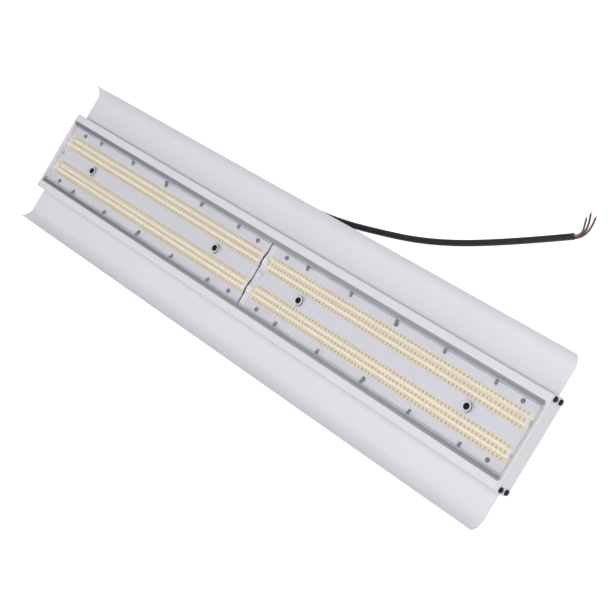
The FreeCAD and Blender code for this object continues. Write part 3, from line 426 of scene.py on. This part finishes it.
# ---------------------------------------------------------------- LEDs
def fill_leds(shape, rows_box):
    """Every LED of one board: a white package with its dipped, yellow, silicone filled window."""
    low, high = rows_box
    pitch = (high.x - low.x - LED_LENGTH) / (LED_COUNT - 1)
    for y in LED_ROWS:
        for count in range(LED_COUNT):
            middle = low.x + LED_LENGTH / 2 + count * pitch
            outlines = [(LED_LENGTH / 2, LED_WIDTH / 2, low.z),
                        (LED_LENGTH / 2, LED_WIDTH / 2, high.z),
                        (LED_LENGTH / 2 - LED_FRAME, LED_WIDTH / 2 - LED_FRAME, high.z),
                        (LED_LENGTH / 2 - LED_FRAME, LED_WIDTH / 2 - LED_FRAME, high.z - LED_DIP)]
            loops = [[shape.verts.new((middle + x * dx, y + w * dy, z))
                      for dx, dy in ((-1, -1), (1, -1), (1, 1), (-1, 1))]
                     for x, w, z in outlines]
            for lower, upper in zip(loops, loops[1:]):
                for corner in range(4):
                    after = (corner + 1) % 4
                    shape.faces.new((lower[corner], lower[after], upper[after], upper[corner]))
            shape.faces.new(loops[-1]).material_index = 1


for side, _ in SIDES:
    rows = f"led_rows_{side}"
    piece(f"leds_{side}", lambda shape, rows=rows: fill_leds(shape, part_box(rows)),
          [led_package, phosphor], "led", rows)


# ---------------------------------------------------------------- screws that show
def pan_screw(shape, place, reach, radius, height):
    """A pan head with a hexagon socket over a threaded shank of that reach, along place's -Z."""
    wider, taller = radius / PAN_RADIUS, height / PAN_HEIGHT
    thread = []
    for turn in range(int(reach / THREAD_PITCH), 0, -1):
        thread += [(THREAD_ROOT, -turn * THREAD_PITCH),
                   (THREAD_CREST, -(turn - 0.5) * THREAD_PITCH)]
    neck = [(THREAD_ROOT, 0.0)]
    head = [(across * MM * wider, up * MM * taller) for across, up in PAN_OUTLINE]
    socket = [(0, height, PAN_SOCKET * wider), (0, height * SOCKET_FLOOR, PAN_SOCKET * wider)]
    turned(shape, thread + neck + head + socket, place)


def washer(shape, place, inner, outer, thickness):
    """A flat ring standing on place, with its edge broken all round."""
    edge = WASHER_EDGE
    steps = [(inner, 0), (outer - edge, 0), (outer, edge), (outer, thickness - edge),
             (outer - edge, thickness), (inner + edge, thickness), (inner, thickness - edge)]
    rings = [ring(shape, radius, height, WASHER_CORNERS, place) for radius, height in steps]
    for lower, upper in zip(rings, rings[1:] + rings[:1]):
        for corner in range(WASHER_CORNERS):
            after = (corner + 1) % WASHER_CORNERS
            shape.faces.new((lower[corner], lower[after], upper[after], upper[corner]))


board_low, board_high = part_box("led_board_near")
board_top = board_high.z
lens_top = board_top + LENS_OVER_BOARD
lens_middles = []
for side, _ in SIDES:
    low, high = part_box(f"lens_{side}")
    lens_middles.append((low.x + high.x) / 2)
lens_screw_spots = [Vector((middle + end * LENS_SCREW_PITCH, 0, lens_top))
                    for middle in lens_middles for end in (-1, 1)]


def fill_lens_screws(shape):
    """Two screws down the middle of each lens."""
    for spot in lens_screw_spots:
        pan_screw(shape, Matrix.Translation(spot), *LENS_SCREW)


piece("lens_screws_turned", fill_lens_screws, [black_zinc], "black_screw", "lens_screws")


def end_screw_places(side, sign):
    """The four port screws of one end, heads outwards."""
    low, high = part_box(f"end_cap_screws_{side}")
    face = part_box(f"end_cap_{side}")[1 if sign > 0 else 0].x
    turn = Matrix.Rotation(sign * math.pi / 2, 4, "Y")
    return [Matrix.Translation((face, y, z)) @ turn
            for y in (low.y + PAN_RADIUS, high.y - PAN_RADIUS)
            for z in (low.z + PAN_RADIUS, high.z - PAN_RADIUS)]


def fill_end_screws(shape, places):
    """The screws of one cap."""
    for place in places:
        pan_screw(shape, place, *END_SCREW)


for side, sign in SIDES:
    places = end_screw_places(side, sign)
    piece(f"end_screws_{side}", lambda shape, places=places: fill_end_screws(shape, places),
          [black_zinc], "black_screw", f"end_cap_screws_{side}")

board_middle = (board_low.x + board_high.x) / 2


def fill_board_screws(shape):
    """The small screws along both edges of each board."""
    for _, sign in SIDES:
        for along in BOARD_SCREW_ROWS:
            for across in (-1, 1):
                spot = Vector((sign * (board_middle + along), across * BOARD_SCREW_Y, board_top))
                pan_screw(shape, Matrix.Translation(spot), *BOARD_SCREW)


piece("board_screws", fill_board_screws, [phosphated], "zinc_screw")


# ---------------------------------------------------------------- lens trim
def fill_washers(shape):
    """A washer under the head of each lens screw."""
    for spot in lens_screw_spots:
        washer(shape, Matrix.Translation(spot), *WASHER)


piece("lens_washers", fill_washers, [white_nylon], "white_plastic")


def fill_sleeves(shape):
    """A sleeve round each pillar of the lenses, from the board up to the plate."""
    for spot in lens_screw_spots:
        foot = Vector((spot.x, spot.y, board_top + SLEEVE_PLAY))
        washer(shape, Matrix.Translation(foot), *SLEEVE)


piece("lens_sleeves", fill_sleeves, [white_nylon], "white_plastic")


def fill_bead(shape, side):
    """The silicone that beds a long edge of the lenses on the rim, from one cap to the other."""
    low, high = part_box("lens_seal_left")
    rings = [[shape.verts.new((x, side * y * MM, z * MM)) for y, z in BEAD_SECTION]
             for x in (low.x, high.x)]
    for corner in range(len(BEAD_SECTION)):
        after = (corner + 1) % len(BEAD_SECTION)
        shape.faces.new((rings[0][corner], rings[0][after], rings[1][after],
                         rings[1][corner])).smooth = corner < BEAD_ROUND_STEPS
    shape.faces.new(rings[0])
    shape.faces.new(rings[1])
    bmesh.ops.recalc_face_normals(shape, faces=shape.faces)


# the bead's mid grey is partly painted shade: it darkens the groove between the lens's edge and the
# rim
for name, side in (("left", 1), ("right", -1)):
    piece(f"lens_bead_{name}", lambda shape, side=side: fill_bead(shape, side), [groove_shade_silicone],
          "seal")


def fill_hooks(shape):
    """Latch hooks moulded under the lens's edges, one below each tab."""
    for middle in lens_middles:
        for count in range(HOOK_COUNT):
            x = middle + (count - (HOOK_COUNT - 1) / 2) * HOOK_PITCH
            for across in (-1, 1):
                inner, outer = sorted(across * y for y in HOOK_Y)
                slab(shape, (x - HOOK_WIDTH / 2, inner, board_top + HOOK_Z[0]),
                     (x + HOOK_WIDTH / 2, outer, board_top + HOOK_Z[1]))


piece("lens_hooks", fill_hooks, [grey_nylon], "white_plastic")


# ---------------------------------------------------------------- supply cord
def lead(name, points, diameter, material):
    """A round lead on one smooth line, led by the route's points in mm from the gland's mouth."""
    curve = bpy.data.curves.new(name, "CURVE")
    curve.dimensions = "3D"
    curve.bevel_depth = diameter / 2
    curve.bevel_resolution = 5
    curve.resolution_u = 10
    curve.use_fill_caps = True
    spline = curve.splines.new("NURBS")
    spline.points.add(len(points) - 1)
    for control, point in zip(spline.points, points):
        control.co = (*(GLAND_MOUTH + Vector(point) * MM), 1)
    spline.order_u = 3
    spline.use_endpoint_u = True
    spline.use_smooth = True
    curve.materials.append(material)
    made = bpy.data.objects.new(name, curve)
    bpy.context.scene.collection.objects.link(made)
    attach(made, "root")
    return made


# the cord lies in one wide bend and its three cores splay at the bared end
cord = lead("supply_cord_sheath", CORD_ROUTE, CORD_DIAMETER, black_rubber)
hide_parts("supply_cord")
for name, route in CORE_ROUTES.items():
    core = lead(f"{name}_insulation", route, CORE_DIAMETER, core_finishes[name])
    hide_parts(name)

# the wires of each core fan out a little past its insulation
for name, route in CORE_ROUTES.items():
    end, before = Vector(route[-1]), Vector(route[-2])
    along = (end - before).normalized()
    aside = along.cross(Vector((0, 0, 1))).normalized()
    bared = [end + along * ahead + aside * stray for ahead, stray in STRAND_STEPS]
    lead(f"{name}_strands", bared, STRAND_DIAMETER, copper)


# ---------------------------------------------------------------- floor, light and camera
def seen_by(tree, *rays):
    """1 for a ray of any of these kinds, and 0 for the rest."""
    path = add(tree, "ShaderNodeLightPath")
    seen = path.outputs[rays[0]]
    for ray in rays[1:]:
        seen = add(tree, "ShaderNodeMath", {0: seen, 1: path.outputs[ray]},
                   operation="MAXIMUM").outputs[0]
    return seen


def white_floor():
    """Matt white paper, which a camera ray, a mirror and clear plastic see as white."""
    material, tree = new_material("paper, matt white")
    where = add(tree, "ShaderNodeTexCoord").outputs["Object"]
    fibre = add(tree, "ShaderNodeTexNoise", {"Vector": where, "Scale": 1 / PAPER_FIBRE})
    tone = add(tree, "ShaderNodeMix", {0: fibre.outputs["Fac"], 6: linear("#F4F4F4"),
                                       7: linear("#F0F0F0")}, data_type="RGBA")
    paper = add(tree, "ShaderNodeBsdfDiffuse", {"Color": tone.outputs[2]})
    seen = seen_by(tree, "Is Camera Ray", "Is Glossy Ray", "Is Transmission Ray")
    glow = add(tree, "ShaderNodeMath", {0: seen, 1: FLOOR_GLOW}, operation="MULTIPLY")
    light = add(tree, "ShaderNodeEmission", {"Strength": glow.outputs[0]})
    both = add(tree, "ShaderNodeAddShader", {0: paper.outputs["BSDF"],
                                             1: light.outputs["Emission"]})
    add(tree, "ShaderNodeOutputMaterial", {"Surface": both.outputs["Shader"]})
    return material


floor_mesh = bpy.data.meshes.new("floor")
floor_mesh.from_pydata([(x * FLOOR_REACH, y * FLOOR_REACH, 0)
                        for x, y in ((-1, -1), (1, -1), (1, 1), (-1, 1))], [], [(0, 1, 2, 3)])
floor_mesh.materials.append(white_floor())
floor = bpy.data.objects.new("floor", floor_mesh)
floor.location.z = -FLOOR_GAP
bpy.context.scene.collection.objects.link(floor)

world = bpy.data.worlds.new("studio")
bpy.context.scene.world = world
world.use_nodes = True
world.node_tree.nodes.clear()
seen = seen_by(world.node_tree, "Is Camera Ray", "Is Transmission Ray")
strength = add(world.node_tree, "ShaderNodeMapRange", {"Value": seen, "To Min": WORLD_LIGHT,
                                                       "To Max": 1.0})
sky = add(world.node_tree, "ShaderNodeBackground", {"Color": linear("#FFFFFF"),
                                                    "Strength": strength.outputs[0]})
add(world.node_tree, "ShaderNodeOutputWorld", {"Surface": sky.outputs["Background"]})


def softbox(name, place, aim, size, power):
    """An area lamp whose first side lies along the light and which faces the aim."""
    lamp = bpy.data.lights.new(name, "AREA")
    lamp.shape = "RECTANGLE"
    lamp.size, lamp.size_y = size
    lamp.energy = power
    holder = bpy.data.objects.new(name, lamp)
    back = (Vector(place) - Vector(aim)).normalized()
    upright = back.cross(Vector((1, 0, 0))).normalized()
    axes = Matrix((upright.cross(back), upright, back)).transposed()
    holder.matrix_world = Matrix.Translation(place) @ axes.to_4x4()
    bpy.context.scene.collection.objects.link(holder)


# place, aim, size in metres and watts: two boxes give the broad light, and the narrow ones are
# what the lens's bars mirror
softbox("overhead softbox", (1.1, 0.15, 2.0), (0, 0, 0), (2.0, 2.2), 24.5)
softbox("side softbox", (0.4, -1.9, 1.5), (0, 0, 0), (2.2, 1.0), 8)
softbox("strip softbox", (-1.35, -0.33, 1.55), (-1.35, 0, 0), (2.4, 0.16), 2.8)
softbox("strip end softbox", (-0.8, -0.33, 1.55), (-0.8, 0, 0), (0.5, 0.16), 0.9)

camera_data = bpy.data.cameras.new("camera")
camera_data.lens = CAMERA_LENS
camera = bpy.data.objects.new("camera", camera_data)
around = Matrix.Rotation(CAMERA_AZIMUTH, 3, "Z")
camera.location = around @ CAMERA_PLACE
looking = around @ Vector((-math.cos(CAMERA_ELEVATION), 0, -math.sin(CAMERA_ELEVATION)))
camera.rotation_mode = "QUATERNION"
camera.rotation_quaternion = (looking.to_track_quat("-Z", "Y")
                              @ Quaternion((0, 0, 1), CAMERA_ROLL))
bpy.context.scene.collection.objects.link(camera)
bpy.context.scene.camera = camera
bpy.context.scene.view_settings.view_transform = "Standard"
